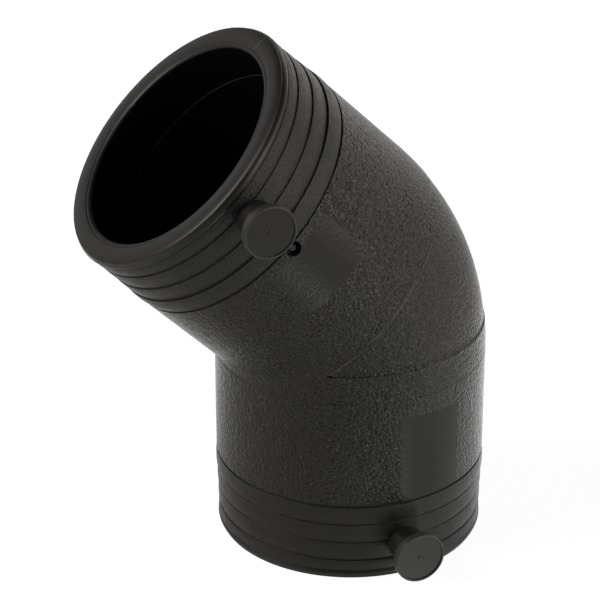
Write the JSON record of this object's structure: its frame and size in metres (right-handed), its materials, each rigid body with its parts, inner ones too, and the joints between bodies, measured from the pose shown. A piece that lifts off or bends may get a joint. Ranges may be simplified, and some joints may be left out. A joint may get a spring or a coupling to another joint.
{
  "type": "electrofusion elbow",
  "caption": "Black 45 degree pipe elbow with an electrofusion socket at each end, grooved mouths, a textured bend and a capped terminal on each socket.",
  "frame": {"origin": "centre of the lower mouth, on the plane of its face, which the part stands on", "axes": "+Z along the lower socket towards the bend; the upper socket leans 45 degrees towards -X; both terminals face -Y"},
  "size_m": [0.1713, 0.1268, 0.2226],
  "materials": {
    "body_plastic": "black polyethylene, leather grain on the body, smoother in the grooved zones and on the lips",
    "cap_plastic": "satin black moulded plastic",
    "coil_coating": "black polyethylene coating over the wire",
    "indicator_plastic": "smooth black polyethylene",
    "pin_brass": "turned brass",
    "copper_wire": "bare drawn copper"
  },
  "bodies": {
    "root": {"elbow_body": "body_plastic", "heating_coil_lower": "coil_coating", "heating_coil_upper": "coil_coating", "lead_wire_lower": "copper_wire", "lead_wire_upper": "copper_wire", "link_wire": "copper_wire", "contact_pin_lower": "pin_brass", "contact_pin_upper": "pin_brass", "terminal_cap_lower": "cap_plastic", "terminal_cap_upper": "cap_plastic", "fusion_indicator_upper": "indicator_plastic"}
  },
  "joints": []
}
